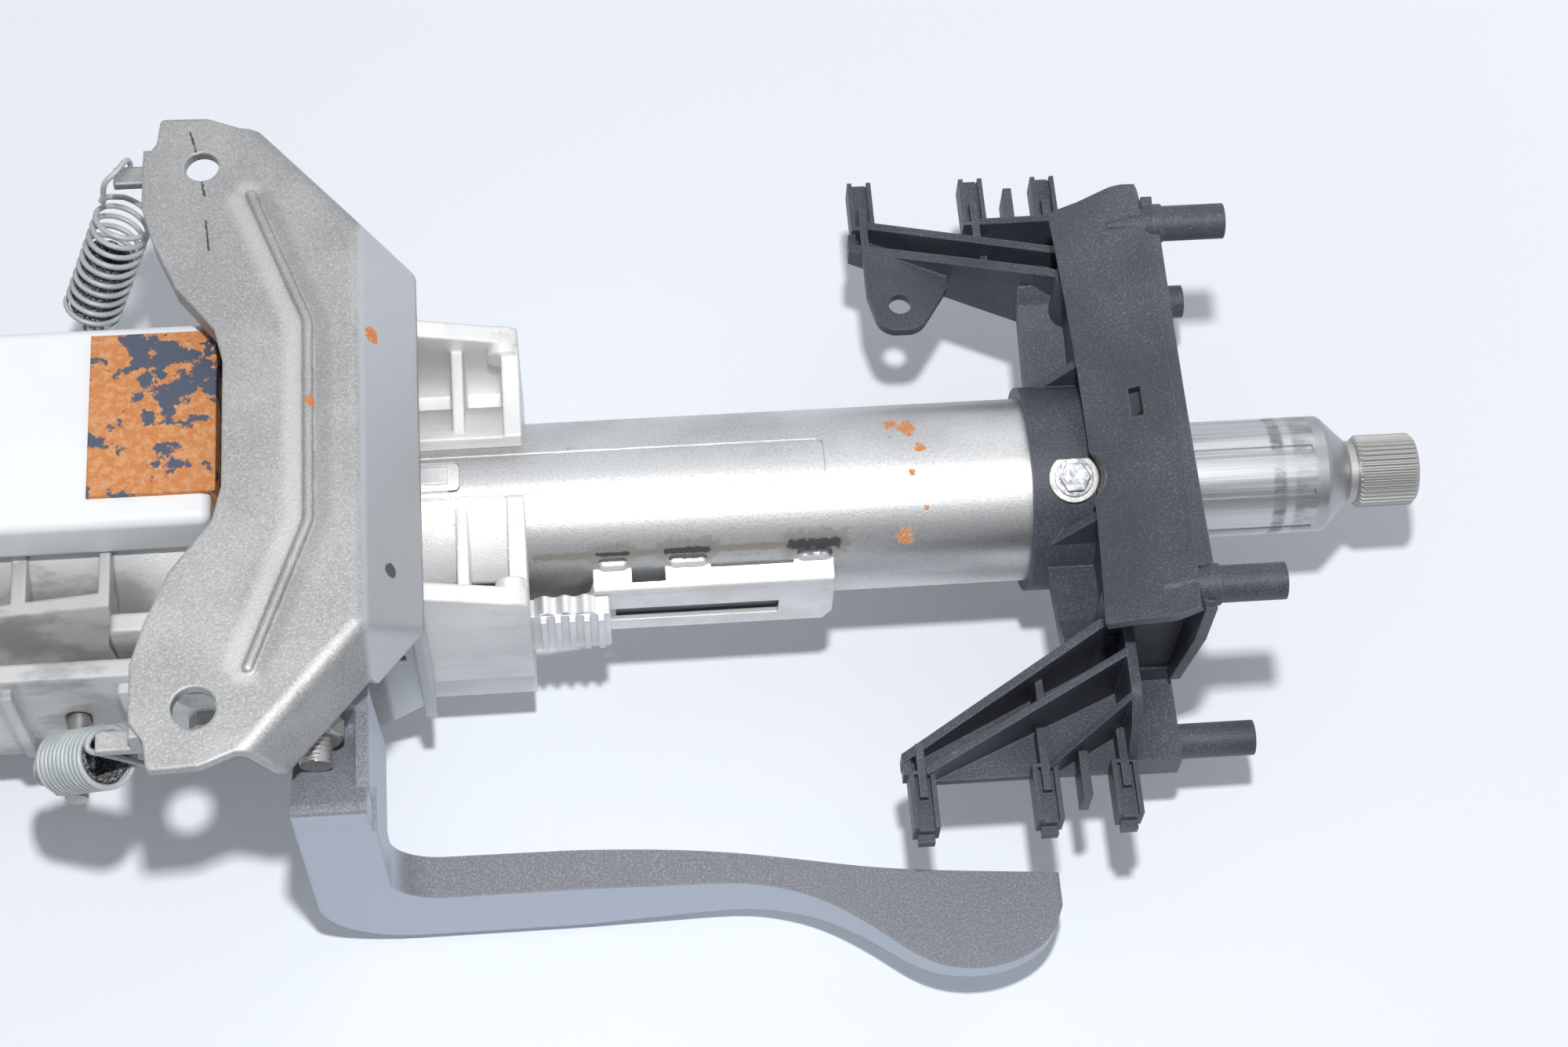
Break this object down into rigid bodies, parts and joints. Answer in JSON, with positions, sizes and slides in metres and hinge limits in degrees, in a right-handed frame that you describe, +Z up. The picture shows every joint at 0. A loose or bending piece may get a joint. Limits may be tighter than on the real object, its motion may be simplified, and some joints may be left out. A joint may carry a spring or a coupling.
{
  "type": "steering wheel adjustment mechanism",
  "caption": "Car steering column with tilt and reach adjustment: dashboard bracket, clamp lever, sliding jacket tube, wheel spindle and moulded trim carrier.",
  "frame": {"origin": "centre of the outer end of the wheel spline, on the column's axis", "axes": "+X along the column towards the steering wheel, +Z up towards the dashboard bracket's top face"},
  "size_m": [0.478, 0.2275, 0.1167],
  "materials": {
    "bracket_steel": "satin",
    "cast_aluminium": "as cast",
    "jacket_steel": "drawn",
    "spindle_steel": "drawn and bright",
    "pale_steel": "satin",
    "zinc_steel": "zinc plated",
    "dark_steel": "phosphated",
    "lever_grey": "fine grain",
    "black_plastic": "fine grain",
    "spring_wire": "coated",
    "felt": "felt",
    "white_plastic": "smooth",
    "rusty_steel": "rusted"
  },
  "bodies": {
    "mount": {"top_bracket": "bracket_steel", "far_cheek": "bracket_steel", "near_cheek": "bracket_steel", "front_console": "cast_aluminium", "console_bolts": "zinc_steel", "pivot_bolts": "zinc_steel", "near_spring": "spring_wire", "far_spring": "spring_wire", "far_sleeve": "felt"},
    "tilt": {"tilt_housing": "cast_aluminium", "guide_key": "spindle_steel", "module_box": "white_plastic", "module_strap": "rusty_steel", "lower_bearing_cup": "spindle_steel", "stop_block": "pale_steel", "wavy_leaf": "pale_steel", "spring_pegs": "zinc_steel"},
    "clamp_plate": {"pressure_plate": "zinc_steel"},
    "clamp_lever": {"lever": "lever_grey", "cam_disc": "zinc_steel", "clamp_bolt": "zinc_steel", "clamp_washers": "zinc_steel", "clamp_nut": "zinc_steel"},
    "reach": {"jacket_tube": "jacket_steel", "reach_strap": "pale_steel", "slot_insert": "pale_steel", "trim_carrier": "black_plastic", "clip_washer": "zinc_steel", "carrier_screw": "dark_steel", "upper_outer_race": "spindle_steel", "jacket_clip": "dark_steel"},
    "spindle": {"steering_spindle": "spindle_steel", "spindle_clip": "dark_steel", "upper_inner_race": "spindle_steel", "upper_balls": "spindle_steel"},
    "front_shaft": {"lower_shaft": "spindle_steel", "lower_clip": "dark_steel", "lower_needles": "spindle_steel"}
  },
  "joints": [
    {"name": "tilt", "type": "hinge", "parent": "mount", "child": "tilt", "pos_m": [-0.425, 0, 0], "axis": [0, 1, 0], "range_deg": [-0.8, 4], "deforming": ["far_spring", "far_sleeve"]},
    {"name": "reach", "type": "slide", "parent": "tilt", "child": "reach", "axis": [1, 0, 0], "range_m": [-0.036, 0.004]},
    {"name": "wheel_turn", "type": "hinge", "parent": "reach", "child": "spindle", "pos_m": [0, 0, 0], "axis": [1, 0, 0], "continuous": true},
    {"name": "front_shaft_turn", "type": "hinge", "parent": "tilt", "child": "front_shaft", "pos_m": [-0.425, 0, 0], "axis": [1, 0, 0], "continuous": true},
    {"name": "clamp_turn", "type": "hinge", "parent": "tilt", "child": "clamp_lever", "pos_m": [-0.299, 0, 0.0335], "axis": [0, 1, 0], "range_deg": [0, 60]},
    {"name": "plate_release", "type": "slide", "parent": "tilt", "child": "clamp_plate", "axis": [0, -1, 0], "range_m": [0, 0.0008]}
  ],
  "couplings": [
    {"joint": "front_shaft_turn", "follows": "wheel_turn", "ratio": 1},
    {"joint": "plate_release", "follows": "clamp_turn", "m_per_rad": 0.00076394}
  ]
}
